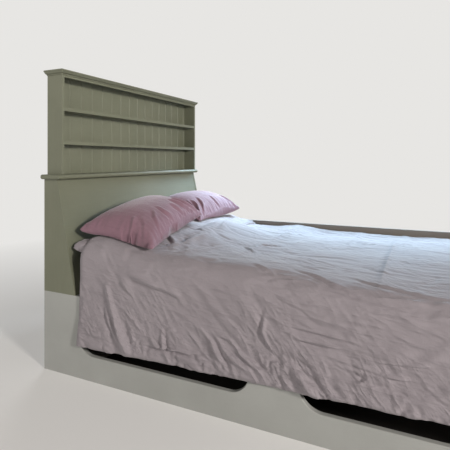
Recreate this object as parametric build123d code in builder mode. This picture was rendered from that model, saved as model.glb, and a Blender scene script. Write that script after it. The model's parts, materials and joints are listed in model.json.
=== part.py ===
"""
A fitted double bed with a shelved headboard, built across the end of a narrow hut.

X runs along the bed, from the wall at its head to its foot. Y runs from the front of the bed to the
wall behind it, and Z is up. The bed rests on the floor at Z = 0, and its outline is centred on the
origin. Sizes are in millimetres.

Inside the script every place is measured from one corner: x from the head wall, y from the front
face of the base, z from the floor. The three planes below carry that corner.
"""
from build123d import *
from math import cos, radians, sin, tan
import os

# Boards and timber
carcass_board = 18
front_board = 22
end_board = 16
rail_depth = 20
rail_height = 45
arris = 2

# Base
base_height = 400
slat_width = 70
slat_thickness = 20
slat_count = 14
slat_recess = 40
bearer_width = 45
bearer_height = 38

# Long openings in the front of the base
slot_length = 900
slot_height = 180
slot_floor = 119
post_width = 205

# Mattress and its clearances in the base
mattress_length = 2000
mattress_width = 1350
mattress_thickness = 190
mattress_end_gap = 24
mattress_side_gap = 5
mattress_roundness = 28

# Low rail behind the mattress and across its foot
rail_top = 622
rail_corner = 60

# Headboard box: its front leans back from the mattress up to the ledge
ledge_underside = 971
headboard_top_depth = 87
headboard_lean = 12
headboard_panel = 12
panel_setback = 2
rib_count = 2

# Ledge with a bullnosed front and near end
ledge_thickness = 24
ledge_depth = 123
ledge_overhang = 25

# Rack of shelves
rack_setback = 20
rack_depth = 101
rack_top = 1528
rack_top_board = 18
frieze_depth = 17
frieze_thickness = 12
lining = 12
shelf_thickness = 18
compartments = 3
groove_pitch = 86
groove_width = 7
first_groove = 77

# Cornice moulding, mitred at the near end
cornice_height = 24
cornice_projection = 26
cornice_step = 5
cornice_lip = 9

# Pillows
pillow_gap = 6
pillow_width = 480
pressed_width = 400
pillow_pull = 20
pillow_flat = 0.45
pillow_seam = 0.35
pillow_height = 140
low_pillow_height = 85
pillow_overhang = 25
near_pillow_lean = 6
far_pillow_lean = 12
soft_gap = 0.3

# Duvet: its thickness over the mattress, and over the middle and the front edge of the lower pillows
duvet_thickness = 50
duvet_crown = 68
duvet_edge = 23
duvet_proud = 40
duvet_clearance = 6
duvet_roll = 60
duvet_hem = 165
duvet_hem_rise = 42
duvet_head = 270
duvet_middle = 360
duvet_foot_gap = 12
duvet_fall_inside = 105
duvet_fall_middle = 300
duvet_fall_front = 1100
duvet_wall_fall = 6

# Places worked out from the sizes
base_width = front_board + mattress_width + 2 * mattress_side_gap + carcass_board
lean_run = tan(radians(headboard_lean))
headboard_foot_depth = headboard_top_depth + lean_run * (ledge_underside - base_height)
bay_start = headboard_foot_depth
bay_end = bay_start + mattress_length + 2 * mattress_end_gap
bed_length = bay_end + front_board
bay_centre = (bay_start + bay_end) / 2
inner_back = base_width - carcass_board
slat_top = base_height - slat_recess
bearer_top = slat_top - slat_thickness
mattress_top = slat_top + mattress_thickness
ledge_top = ledge_underside + ledge_thickness
rack_board_underside = rack_top - rack_top_board
rack_far = base_width - end_board
rack_near = rack_setback + end_board
shelf_space = rack_board_underside - frieze_depth - ledge_top
compartment_height = (shelf_space - (compartments - 1) * shelf_thickness) / compartments

# The corner that everything is measured from, and three planes through it
corner = Vector(-bed_length / 2, (duvet_proud - base_width) / 2, 0)
floor = Plane(origin=corner, x_dir=(1, 0, 0), z_dir=(0, 0, 1))
side = Plane(origin=corner, x_dir=(1, 0, 0), z_dir=(0, -1, 0))
end = Plane(origin=corner, x_dir=(0, 1, 0), z_dir=(1, 0, 0))

os.makedirs("parts", exist_ok=True)


def board(x, y, z):
    """A straight board between two opposite corners."""
    with Locations((corner.X + x[0], corner.Y + y[0], z[0])):
        Box(x[1] - x[0], y[1] - y[0], z[1] - z[0], align=(Align.MIN, Align.MIN, Align.MIN))


def headboard_depth(height):
    """Depth of the headboard box, from the wall to its leaning front, at one height."""
    return headboard_top_depth + lean_run * (ledge_underside - height)


def finish(builder, name):
    """Names one piece and writes its file."""
    builder.part.label = name
    export_step(builder.part, f"parts/{name}.step")


# Front of the base: one board with a long round-ended opening on each side of a plain post
slot_centres = [
    bay_centre - (post_width + slot_length) / 2,
    bay_centre + (post_width + slot_length) / 2,
]
with BuildPart() as base_front_panel:
    with BuildSketch(side):
        with Locations((bed_length / 2, base_height / 2)):
            Rectangle(bed_length, base_height)
        with Locations(*[(x, slot_floor + slot_height / 2) for x in slot_centres]):
            SlotOverall(slot_length, slot_height, mode=Mode.SUBTRACT)
    extrude(amount=-front_board)
    front_edges = base_front_panel.faces().sort_by(Axis.Y)[0].inner_wires().edges()
    chamfer(front_edges, length=arris)
finish(base_front_panel, "base_front_panel")

with BuildPart() as base_back_panel:
    board((0, bed_length), (inner_back, base_width), (0, base_height))
finish(base_back_panel, "base_back_panel")

# Cross boards of the base: at the head wall, below the foot of the headboard, in the middle, at the foot
with BuildPart() as base_head_panel:
    board((0, carcass_board), (front_board, inner_back), (0, base_height))
finish(base_head_panel, "base_head_panel")

with BuildPart() as base_head_divider:
    board((bay_start - carcass_board, bay_start), (front_board, inner_back), (0, base_height))
finish(base_head_divider, "base_head_divider")

divider_head = bay_centre - carcass_board / 2
divider_foot = bay_centre + carcass_board / 2
with BuildPart() as base_centre_divider:
    board((divider_head, divider_foot), (front_board, inner_back), (0, bearer_top))
finish(base_centre_divider, "base_centre_divider")

with BuildPart() as base_foot_panel:
    board((bay_end, bed_length), (front_board, inner_back), (0, base_height))
finish(base_foot_panel, "base_foot_panel")

# Bearers that carry the slats, one on each long side of each bay
bays = {"head": (bay_start, divider_head), "foot": (divider_foot, bay_end)}
sides = {
    "front": (front_board, front_board + bearer_width),
    "back": (inner_back - bearer_width, inner_back),
}
for bay, bay_span in bays.items():
    for place, side_span in sides.items():
        with BuildPart() as bearer:
            board(bay_span, side_span, (bearer_top - bearer_height, bearer_top))
        finish(bearer, f"slat_bearer_{place}_{bay}")

# Slats across the base, evenly spaced along the bay
slat_pitch = (bay_end - bay_start) / slat_count
with BuildPart() as bed_slats:
    for number in range(slat_count):
        slat_start = bay_start + number * slat_pitch + (slat_pitch - slat_width) / 2
        board((slat_start, slat_start + slat_width), (front_board, inner_back), (bearer_top, slat_top))
finish(bed_slats, "bed_slats")

# Rail behind the mattress, cut at its head to the lean of the headboard
with BuildPart() as wall_rail:
    with BuildSketch(side.offset(-inner_back)):
        with BuildLine():
            Polyline(
                (headboard_depth(base_height), base_height),
                (bay_end, base_height),
                (bay_end, rail_top),
                (headboard_depth(rail_top), rail_top),
                close=True,
            )
        make_face()
    extrude(amount=-carcass_board)
finish(wall_rail, "wall_rail")

# Rail across the foot, with its near top corner rounded
with BuildPart() as foot_rail:
    with BuildSketch(end.offset(bay_end)):
        with Locations((base_width / 2, (base_height + rail_top) / 2)):
            Rectangle(base_width, rail_top - base_height)
        near_top = vertices().group_by(Axis.Y)[-1].sort_by(Axis.X)[0]
        fillet(near_top, radius=rail_corner)
    extrude(amount=front_board)
finish(foot_rail, "foot_rail")

# Ends of the headboard box
headboard_ends = {"near": 0, "far": base_width - end_board}
for place, y in headboard_ends.items():
    with BuildPart() as headboard_end:
        with BuildSketch(side.offset(-y)):
            with BuildLine():
                Polyline(
                    (0, base_height),
                    (headboard_foot_depth, base_height),
                    (headboard_top_depth, ledge_underside),
                    (0, ledge_underside),
                    close=True,
                )
            make_face()
        extrude(amount=-end_board)
    finish(headboard_end, f"headboard_end_{place}")

# Leaning front of the headboard box, set between the ends and just behind their edges
panel_run = headboard_panel / cos(radians(headboard_lean))
foot_x = headboard_foot_depth - panel_setback
head_x = headboard_top_depth - panel_setback
with BuildPart() as headboard_front_panel:
    with BuildSketch(side.offset(-end_board)):
        with BuildLine():
            Polyline(
                (foot_x - panel_run, base_height),
                (foot_x, base_height),
                (head_x, ledge_underside),
                (head_x - panel_run, ledge_underside),
                close=True,
            )
        make_face()
    extrude(amount=-(base_width - 2 * end_board))
finish(headboard_front_panel, "headboard_front_panel")

# Rails on the wall inside the box
rail_spans = {
    "top": (ledge_underside - rail_height, ledge_underside),
    "bottom": (base_height, base_height + rail_height),
}
for place, z in rail_spans.items():
    with BuildPart() as rail:
        board((0, rail_depth), (end_board, base_width - end_board), z)
    finish(rail, f"headboard_rail_{place}")

# Ribs inside the box, notched over the rails and cut to the back of the front panel
rib_gap = (base_width - 2 * end_board) / (rib_count + 1)
with BuildPart() as headboard_ribs:
    for number in range(rib_count):
        rib_y = end_board + (number + 1) * rib_gap - carcass_board / 2
        with BuildSketch(side.offset(-rib_y)):
            with BuildLine():
                Polyline(
                    (rail_depth, base_height),
                    (foot_x - panel_run, base_height),
                    (head_x - panel_run, ledge_underside),
                    (rail_depth, ledge_underside),
                    (rail_depth, ledge_underside - rail_height),
                    (0, ledge_underside - rail_height),
                    (0, base_height + rail_height),
                    (rail_depth, base_height + rail_height),
                    close=True,
                )
            make_face()
        extrude(amount=-carcass_board)
finish(headboard_ribs, "headboard_ribs")

# Ledge: the same half-round nose runs along the front and returns along the near end
nose = ledge_thickness / 2
with BuildPart() as ledge:
    with BuildSketch(side.offset(-base_width)):
        with BuildLine():
            Polyline(
                (ledge_depth - nose, ledge_underside),
                (0, ledge_underside),
                (0, ledge_top),
                (ledge_depth - nose, ledge_top),
            )
            ThreePointArc(
                (ledge_depth - nose, ledge_top),
                (ledge_depth, ledge_underside + nose),
                (ledge_depth - nose, ledge_underside),
            )
        make_face()
    extrude(amount=base_width + ledge_overhang)
    with BuildSketch(end):
        with BuildLine():
            Polyline(
                (nose - ledge_overhang, ledge_underside),
                (base_width, ledge_underside),
                (base_width, ledge_top),
                (nose - ledge_overhang, ledge_top),
            )
            ThreePointArc(
                (nose - ledge_overhang, ledge_top),
                (-ledge_overhang, ledge_underside + nose),
                (nose - ledge_overhang, ledge_underside),
            )
        make_face()
    extrude(amount=ledge_depth, mode=Mode.INTERSECT)
finish(ledge, "ledge")

# Ends of the rack
rack_ends = {"near": rack_setback, "far": rack_far}
for place, y in rack_ends.items():
    with BuildPart() as rack_end:
        board((0, rack_depth), (y, y + end_board), (ledge_top, rack_board_underside))
    finish(rack_end, f"rack_end_{place}")

# Back of the rack: matchboard with a V-groove at each joint
groove_count = int((rack_far - first_groove) // groove_pitch) + 1
grooves = [first_groove + number * groove_pitch for number in range(groove_count)]
with BuildPart() as rack_back:
    with BuildSketch(floor.offset(ledge_top)):
        with Locations((lining / 2, (rack_near + rack_far) / 2)):
            Rectangle(lining, rack_far - rack_near)
        with Locations(*[(lining, y) for y in grooves]):
            Rectangle(groove_width / 2**0.5, groove_width / 2**0.5, rotation=45, mode=Mode.SUBTRACT)
    extrude(amount=rack_board_underside - ledge_top)
finish(rack_back, "rack_back")

# Shelves between the ends, in front of the lining
shelf_names = ["shelf_lower", "shelf_upper"]
for number, name in enumerate(shelf_names):
    shelf_underside = ledge_top + (number + 1) * compartment_height + number * shelf_thickness
    with BuildPart() as shelf:
        board(
            (lining, rack_depth),
            (rack_near, rack_far),
            (shelf_underside, shelf_underside + shelf_thickness),
        )
    finish(shelf, name)

# Frieze below the top board, flush with the front of the ends
with BuildPart() as rack_frieze:
    board(
        (rack_depth - frieze_thickness, rack_depth),
        (rack_near, rack_far),
        (rack_board_underside - frieze_depth, rack_board_underside),
    )
finish(rack_frieze, "rack_frieze")

with BuildPart() as rack_top_piece:
    board((0, rack_depth), (rack_setback, base_width), (rack_board_underside, rack_top))
finish(rack_top_piece, "rack_top_board")

# Cornice: a small step, a hollow and a rounded lip, swept round the front and the near end
cornice_foot = rack_top - cornice_height
step_x = rack_depth + cornice_step
lip_x = rack_depth + cornice_projection
lip_round = cornice_lip / 2
with BuildPart() as cornice:
    with BuildLine():
        Polyline(
            floor.from_local_coords((rack_depth, base_width, rack_top)),
            floor.from_local_coords((rack_depth, rack_setback, rack_top)),
            floor.from_local_coords((0, rack_setback, rack_top)),
        )
    with BuildSketch(side.offset(-base_width)):
        with BuildLine():
            Polyline(
                (step_x, cornice_foot + cornice_step),
                (step_x, cornice_foot),
                (rack_depth, cornice_foot),
                (rack_depth, rack_top),
                (lip_x - lip_round, rack_top),
            )
            ThreePointArc(
                (lip_x - lip_round, rack_top),
                (lip_x, rack_top - lip_round),
                (lip_x - lip_round, rack_top - cornice_lip),
            )
            RadiusArc(
                (lip_x - lip_round, rack_top - cornice_lip),
                (step_x, cornice_foot + cornice_step),
                radius=cornice_projection - cornice_step - lip_round,
            )
        make_face()
    sweep(transition=Transition.RIGHT)
finish(cornice, "cornice")

# Mattress
mattress_head = bay_start + mattress_end_gap
mattress_front = front_board + mattress_side_gap
mattress_back = mattress_front + mattress_width
with BuildPart() as mattress:
    board(
        (mattress_head, mattress_head + mattress_length),
        (mattress_front, mattress_back),
        (slat_top, mattress_top),
    )
    fillet(mattress.edges(), radius=mattress_roundness)
finish(mattress, "mattress")

# Heights of the bedding: the duvet lies on the mattress and over the lower pillows
on_mattress = mattress_top + soft_gap
over_pillow = on_mattress + low_pillow_height + soft_gap
duvet_low_top = on_mattress + duvet_thickness
duvet_high_top = over_pillow + duvet_crown
duvet_front_top = over_pillow + duvet_edge
duvet_back = inner_back - soft_gap
pillow_length = (mattress_width - pillow_gap) / 2


def on_duvet(y):
    """Height of the duvet over the lower pillows, at one place across the bed: it falls towards the wall."""
    return duvet_high_top - duvet_wall_fall * max(0, y - duvet_middle) / (duvet_back - duvet_middle) + soft_gap


# Pillows: front end, what the underside rests on, width, height and lean towards the headboard
far_start = mattress_back - pillow_length
near_start = mattress_front - pillow_overhang
far_flat_start = far_start + (1 - pillow_flat) * pillow_length / 2
pillows = {
    "pillow_lower_near": (mattress_front, on_mattress, pillow_width, low_pillow_height, 0),
    "pillow_lower_far": (far_start, on_mattress, pillow_width, low_pillow_height, 0),
    "pillow_top_near": (near_start, on_duvet(duvet_middle), pillow_width, pillow_height, near_pillow_lean),
    "pillow_top_far": (far_start, on_duvet(far_flat_start), pressed_width, pillow_height, far_pillow_lean),
}

# Sections of a pillow from its underside to its crown: share of the height, share of the outline at the seam
pillow_sections = {0: pillow_flat, 0.15: 0.8, pillow_seam: 1, 0.6: 0.88, 0.8: 0.68, 0.93: 0.45, 1: 0.22}
for name, (y, underside, width, height, lean) in pillows.items():
    across, upward = cos(radians(lean)), sin(radians(lean))
    seam_above_underside = max(
        share * width / 2 * upward + (pillow_seam - rise) * height * across
        for rise, share in pillow_sections.items()
    )
    seam_height = underside + seam_above_underside
    head_edge = headboard_depth(seam_height + width / 2 * upward) + soft_gap
    middle = floor.from_local_coords((head_edge + width / 2 * across, y + pillow_length / 2, seam_height))
    seam_plane = Plane(origin=middle, x_dir=(across, 0, -upward), z_dir=(upward, 0, across))
    with BuildPart() as pillow:
        for rise, share in pillow_sections.items():
            half_width, half_length, pull = share * width / 2, share * pillow_length / 2, share * pillow_pull
            with BuildSketch(seam_plane.offset((rise - pillow_seam) * height)):
                with BuildLine():
                    Polyline(
                        (-half_width, -half_length),
                        (0, pull - half_length),
                        (half_width, -half_length),
                        (half_width - pull, 0),
                        (half_width, half_length),
                        (0, half_length - pull),
                        (-half_width, half_length),
                        (pull - half_width, 0),
                        close=True,
                    )
                make_face()
        loft(ruled=True)
    finish(pillow, name)

# Duvet: cross-sections along the bed, each with its underside and its top at the front, middle and wall
pillow_foot = headboard_depth(on_mattress) + pillow_width
duvet_foot = bay_end - duvet_foot_gap
roll_start = duvet_roll - duvet_proud
wall_high_top = duvet_high_top - duvet_wall_fall
middle_low_top = duvet_low_top + duvet_wall_fall
halfway_top = (duvet_high_top + duvet_low_top) / 2
duvet_sections = {
    duvet_head: (over_pillow, duvet_front_top, duvet_high_top, wall_high_top),
    pillow_foot: (over_pillow, duvet_front_top, duvet_high_top, wall_high_top),
    pillow_foot + duvet_fall_inside: (on_mattress, duvet_front_top, halfway_top, duvet_low_top),
    pillow_foot + duvet_fall_middle: (on_mattress, duvet_front_top, middle_low_top, duvet_low_top),
    pillow_foot + duvet_fall_front: (on_mattress, duvet_low_top, middle_low_top, duvet_low_top),
    duvet_foot: (on_mattress, duvet_low_top, middle_low_top, duvet_low_top),
}
with BuildPart() as duvet:
    for x, (underside, front_top, middle_top, wall_top) in duvet_sections.items():
        hem = duvet_hem + duvet_hem_rise * (x - duvet_head) / (duvet_foot - duvet_head)
        with BuildSketch(end.offset(x)):
            with BuildLine():
                Polyline(
                    (-duvet_proud, front_top - duvet_roll),
                    (-duvet_proud, hem),
                    (-duvet_clearance, hem),
                    (-duvet_clearance, underside),
                    (duvet_back, underside),
                    (duvet_back, wall_top),
                    (duvet_middle, middle_top),
                    (roll_start, front_top),
                )
                CenterArc((roll_start, front_top - duvet_roll), duvet_roll, 90, 90)
            make_face()
    loft(ruled=True)
finish(duvet, "duvet")
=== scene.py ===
"""Looks of a fitted double bed with a shelved headboard: paint, bare wood, bedding, light and camera."""
import json
import math

import bpy
import numpy as np
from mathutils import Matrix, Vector


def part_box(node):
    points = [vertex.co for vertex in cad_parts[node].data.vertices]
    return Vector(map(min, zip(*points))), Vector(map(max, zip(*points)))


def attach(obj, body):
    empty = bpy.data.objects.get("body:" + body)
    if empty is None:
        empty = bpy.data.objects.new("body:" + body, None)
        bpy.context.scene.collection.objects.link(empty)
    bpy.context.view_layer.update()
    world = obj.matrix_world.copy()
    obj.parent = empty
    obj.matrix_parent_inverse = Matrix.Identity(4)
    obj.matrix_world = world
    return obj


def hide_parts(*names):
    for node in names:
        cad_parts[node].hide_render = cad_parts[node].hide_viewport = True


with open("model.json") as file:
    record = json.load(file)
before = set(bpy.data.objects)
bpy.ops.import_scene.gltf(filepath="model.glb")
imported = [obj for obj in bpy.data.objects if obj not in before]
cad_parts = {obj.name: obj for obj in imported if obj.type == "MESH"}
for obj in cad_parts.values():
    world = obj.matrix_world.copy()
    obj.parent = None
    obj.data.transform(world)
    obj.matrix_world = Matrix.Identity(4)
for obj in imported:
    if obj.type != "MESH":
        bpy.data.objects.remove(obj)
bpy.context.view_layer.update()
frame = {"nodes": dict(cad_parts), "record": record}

# The camera stood in front of the foot half of the bed, level, with its lens shifted down
HEAD_WALL_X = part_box("base_head_panel")[0].x
FRONT_FACE_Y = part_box("base_front_panel")[0].y
CAMERA_PLACE = (1.777, -1.596, 1.0675)
CAMERA_YAW = 25.23
FOCAL_PIXELS = 428.8
HORIZON_PIXEL = 160.3
FRAME_PIXELS = 450
SENSOR = 36.0

# Floor and backdrop: the floor takes the backdrop's colour between two distances from the bed's middle
BACKDROP = (0.80, 0.79, 0.77, 1)
FLOOR_COLOUR = (0.74, 0.73, 0.71)
# Painted shade: the floor inside the base is near black, standing in for the shade of the unlit storage
FLOOR_PAINTED_SHADE = (0.02, 0.018, 0.016)
FLOOR_REACH = 30.0
HAZE_FROM, HAZE_TO = 1.6, 4.5
HAZE_NEAR = 0.22
WORLD_COLOUR = (1.0, 0.98, 0.95, 1)
WORLD_STRENGTH = 0.14

# Softboxes: place, what they face, size, power, colour and spread in degrees. The main one stands far to
# the right, so that its light grazes the front, and a cool one lies along the back
WARM = (1.0, 0.94, 0.89)
LIGHTS = {
    "along_back": ((1.15, 1.62, 1.12), (1.15, 0.97, 0.5), (2.0, 0.4), 12.6, (0.52, 0.79, 1.0), 75),
    "grazing": ((6.0, -2.2, 2.2), (1.1, 0.0, 0.4), (0.6, 0.6), 297, WARM, 180),
    "fill": ((-0.6, -3.0, 1.6), (1.1, 0.0, 0.45), (1.6, 1.2), 36, WARM, 180),
    "over_foot": ((2.7, 0.1, 1.7), (0.1, 0.7, 1.2), (0.9, 0.9), 2.5, (1.0, 0.97, 0.92), 60),
    "over_pillows": ((0.5, 2.1, 1.9), (0.33, 1.12, 0.85), (0.5, 0.5), 2.1, (0.75, 0.85, 1.0), 40),
    "behind": ((-1.8, 3.4, 2.0), (0.6, 1.0, 0.6), (1.6, 1.2), 48, (0.96, 0.97, 1.0), 180),
}

# Colours of the paints and of the wood, darkest and lightest
SAGE = (0.124, 0.131, 0.088), (0.148, 0.155, 0.107)
STONE = (0.296, 0.303, 0.286), (0.342, 0.350, 0.334)
# A warm greige for the rails: its hue is their paint, and its darkness is painted shade, as the rails lie in
# shade
SHADED_GREIGE = (0.130, 0.114, 0.096), (0.158, 0.140, 0.119)
BARE_WOOD = (0.36, 0.22, 0.11), (0.62, 0.45, 0.27)

# Cloths: darkest and lightest colour, sheen, how close their creases lie along each axis, and how deep
CLOTHS = {
    "grey_linen": ((0.232, 0.208, 0.224), (0.290, 0.262, 0.280), 0.15, (6, 20, 1), 0.0038),
    "mauve_linen": ((0.180, 0.098, 0.126), (0.236, 0.134, 0.170), 0.3, (9, 14, 1), 0.0022),
    "thread": ((0.090, 0.040, 0.055), (0.110, 0.052, 0.070), 0.1, (9, 14, 1), 0.0002),
    "ticking": ((0.60, 0.58, 0.53), (0.72, 0.70, 0.64), 0.1, (6, 6, 1), 0.0008),
    "tape": ((0.50, 0.48, 0.43), (0.58, 0.56, 0.50), 0.1, (6, 6, 1), 0.0004),
}
THREAD_PITCH = 0.0009
SLUB_WIDTH, SLUB_LENGTH = 1 / 900, 1 / 40

# Height at which the front of the bedding turns over into its top
FRONT_TOP = 0.54


def at(x, y, z):
    """A place given from the head wall, the front face of the base and the floor, in metres."""
    return Vector((HEAD_WALL_X + x, FRONT_FACE_Y + y, z))


def add_camera():
    data = bpy.data.cameras.new("camera")
    data.sensor_width = SENSOR
    data.lens = FOCAL_PIXELS / FRAME_PIXELS * SENSOR
    data.shift_y = (HORIZON_PIXEL - FRAME_PIXELS / 2) / FRAME_PIXELS
    camera = bpy.data.objects.new("camera", data)
    camera.location = at(*CAMERA_PLACE)
    camera.rotation_euler = (math.radians(90), 0, math.radians(CAMERA_YAW))
    bpy.context.scene.collection.objects.link(camera)
    bpy.context.scene.camera = camera


def add_area_light(name, place, target, size, power, colour, spread):
    data = bpy.data.lights.new(name, "AREA")
    data.shape = "RECTANGLE"
    data.size, data.size_y = size
    data.energy = power
    data.color = colour
    data.spread = math.radians(spread)
    lamp = bpy.data.objects.new(name, data)
    lamp.visible_camera = False
    lamp.location = at(*place)
    aim = at(*target) - lamp.location
    lamp.rotation_mode = "QUATERNION"
    lamp.rotation_quaternion = aim.to_track_quat("-Z", "Y")
    bpy.context.scene.collection.objects.link(lamp)


def new_material(name):
    """A material with its shader and an object-coordinate node, ready for more nodes."""
    material = bpy.data.materials.new(name)
    material.use_nodes = True
    tree = material.node_tree
    shader = tree.nodes["Principled BSDF"]
    place = tree.nodes.new("ShaderNodeTexCoord")
    return material, tree, shader, place.outputs["Object"]


def stretched(tree, vector, scale, turn=0):
    """The same coordinates, turned by some degrees in their plane and scaled along each axis."""
    if turn:
        turned = tree.nodes.new("ShaderNodeMapping")
        turned.inputs["Rotation"].default_value[2] = math.radians(turn)
        tree.links.new(vector, turned.inputs["Vector"])
        vector = turned.outputs["Vector"]
    mapping = tree.nodes.new("ShaderNodeMapping")
    mapping.inputs["Scale"].default_value = scale
    tree.links.new(vector, mapping.inputs["Vector"])
    return mapping.outputs["Vector"]


def noise(tree, vector, scale, detail=4.0, roughness=0.5, distortion=0.0):
    node = tree.nodes.new("ShaderNodeTexNoise")
    node.inputs["Scale"].default_value = scale
    node.inputs["Detail"].default_value = detail
    node.inputs["Roughness"].default_value = roughness
    node.inputs["Distortion"].default_value = distortion
    tree.links.new(vector, node.inputs["Vector"])
    return node.outputs["Fac"]


def ramp(tree, value, low, high, dark, light):
    """A colour between dark and light as value goes from low to high."""
    node = tree.nodes.new("ShaderNodeValToRGB")
    node.color_ramp.elements[0].position = low
    node.color_ramp.elements[1].position = high
    node.color_ramp.elements[0].color = (*dark, 1)
    node.color_ramp.elements[1].color = (*light, 1)
    tree.links.new(value, node.inputs["Fac"])
    return node.outputs["Color"]


def ranged(tree, value, low, high, to_low, to_high):
    """A number that goes from to_low to to_high as value goes from low to high, and stays there."""
    node = tree.nodes.new("ShaderNodeMapRange")
    node.inputs["From Min"].default_value = low
    node.inputs["From Max"].default_value = high
    node.inputs["To Min"].default_value = to_low
    node.inputs["To Max"].default_value = to_high
    tree.links.new(value, node.inputs["Value"])
    return node.outputs["Result"]


def bump(tree, height, strength, distance, below=None):
    node = tree.nodes.new("ShaderNodeBump")
    node.inputs["Strength"].default_value = strength
    node.inputs["Distance"].default_value = distance
    tree.links.new(height, node.inputs["Height"])
    if below is not None:
        tree.links.new(below, node.inputs["Normal"])
    return node.outputs["Normal"]


def grained(tree, place, along, fine, long_way, **settings):
    """Noise drawn out along one axis, such as brush strokes or the grain of wood."""
    scale = [fine, fine, fine]
    scale["xyz".index(along)] = long_way
    return noise(tree, stretched(tree, place, scale), 1.0, **settings)


def paint(name, along, dark, light):
    """Eggshell paint, brushed along one axis."""
    material, tree, shader, place = new_material(name)
    strokes = grained(tree, place, along, 220.0, 9.0, detail=3.0)
    clouds = noise(tree, place, 3.5, detail=5.0, roughness=0.6)
    tree.links.new(ramp(tree, clouds, 0.3, 0.7, dark, light), shader.inputs["Base Color"])
    tree.links.new(ranged(tree, strokes, 0.3, 0.7, 0.50, 0.64), shader.inputs["Roughness"])
    tree.links.new(bump(tree, strokes, 0.12, 0.0006), shader.inputs["Normal"])
    return material


def softwood(name, along):
    """Planed bare softwood with its grain along one axis."""
    material, tree, shader, place = new_material(name)
    grain = grained(tree, place, along, 26.0, 1.6, detail=6.0, distortion=0.6)
    tree.links.new(ramp(tree, grain, 0.3, 0.72, *BARE_WOOD), shader.inputs["Base Color"])
    tree.links.new(ranged(tree, grain, 0.3, 0.7, 0.75, 0.6), shader.inputs["Roughness"])
    tree.links.new(bump(tree, grain, 0.2, 0.0008), shader.inputs["Normal"])
    return material


def joined(tree, operation, first, second):
    """One number from two, each a socket or a plain number."""
    node = tree.nodes.new("ShaderNodeMath")
    node.operation = operation
    for socket, value in zip(node.inputs, (first, second)):
        if isinstance(value, (int, float)):
            socket.default_value = value
        else:
            tree.links.new(value, socket)
    return node.outputs["Value"]


def threads(tree, vector, direction, pitch):
    """Bands a thread wide, across the x or the y of a flat piece of cloth."""
    node = tree.nodes.new("ShaderNodeTexWave")
    node.bands_direction = direction
    node.inputs["Scale"].default_value = 2 * math.pi / (20 * pitch)
    node.inputs["Distortion"].default_value = 1.2
    node.inputs["Detail Scale"].default_value = 1.0
    tree.links.new(vector, node.inputs["Vector"])
    return node.outputs["Fac"]


def creased(tree, vector):
    """Sharp creases that branch and fade."""
    node = tree.nodes.new("ShaderNodeTexNoise")
    node.noise_type = "RIDGED_MULTIFRACTAL"
    node.inputs["Scale"].default_value = 1.0
    node.inputs["Detail"].default_value = 2.5
    node.inputs["Roughness"].default_value = 0.45
    node.inputs["Offset"].default_value = 1.0
    node.inputs["Gain"].default_value = 1.5
    tree.links.new(vector, node.inputs["Vector"])
    return node.outputs["Fac"]


def laid_flat(tree, place):
    """Places on the cloth, which run on from the top of the bed down its front, and their height."""
    parts = tree.nodes.new("ShaderNodeSeparateXYZ")
    tree.links.new(place, parts.inputs["Vector"])
    cloth = tree.nodes.new("ShaderNodeCombineXYZ")
    tree.links.new(parts.outputs["X"], cloth.inputs["X"])
    tree.links.new(joined(tree, "ADD", parts.outputs["Y"], parts.outputs["Z"]), cloth.inputs["Y"])
    return cloth.outputs["Vector"], parts.outputs["Z"]


def pressed_creases(tree, place, flat, height, stretch):
    """Long creases, weaker on top of the bed, and finer ones across them in patches low on its front."""
    long_ones = ranged(tree, height, FRONT_TOP, 0.62, 1.0, 0.3)
    patches = ranged(tree, noise(tree, place, 3.2, detail=1.0), 0.42, 0.60, 0.15, 1.0)
    low_down = joined(tree, "MULTIPLY", patches, ranged(tree, height, FRONT_TOP, 0.26, 0.3, 1.4))
    across = joined(tree, "MULTIPLY", low_down, 0.45)
    total = 0.0
    for finer_by, turn, shown in ((1.0, 4, long_ones), (1.4, 52, low_down), (1.9, -24, across)):
        scale = [value * finer_by for value in stretch]
        lines = creased(tree, stretched(tree, flat, scale, turn))
        total = joined(tree, "ADD", joined(tree, "MULTIPLY", lines, shown), total)
    return total


def linen(name, dark, light, sheen, crease_stretch, crease_depth):
    """Washed cotton: a plain weave with uneven threads, and fine creases, deepest low on the bed."""
    material, tree, shader, place = new_material(name)
    flat, height = laid_flat(tree, place)
    long_way, fine = 1 / SLUB_LENGTH, 1 / SLUB_WIDTH
    slubs_along = noise(tree, stretched(tree, flat, (long_way, fine, 1)), 1.0, detail=2.0)
    slubs_over = noise(tree, stretched(tree, flat, (fine, long_way, 1)), 1.0, detail=2.0)
    uneven = joined(tree, "ADD", slubs_along, slubs_over)
    clouds = joined(tree, "MULTIPLY", noise(tree, place, 5.0, detail=3.0), 0.4)
    tone = joined(tree, "ADD", joined(tree, "MULTIPLY", uneven, 0.3), clouds)
    tree.links.new(ramp(tree, tone, 0.3, 0.7, dark, light), shader.inputs["Base Color"])
    tree.links.new(ranged(tree, uneven, 0.6, 1.4, 0.95, 0.8), shader.inputs["Roughness"])
    shader.inputs["Sheen Weight"].default_value = sheen
    shader.inputs["Sheen Roughness"].default_value = 0.4
    creases = pressed_creases(tree, place, flat, height, crease_stretch)
    pressed = bump(tree, creases, 1.0, crease_depth)
    warp, weft = threads(tree, flat, "X", THREAD_PITCH), threads(tree, flat, "Y", THREAD_PITCH)
    woven = joined(tree, "ADD", warp, weft)
    tree.links.new(bump(tree, woven, 0.25, 0.0003, below=pressed), shader.inputs["Normal"])
    return material


def dress(node, material):
    slots = frame["nodes"][node].data.materials
    slots.clear()
    slots.append(material)


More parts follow.
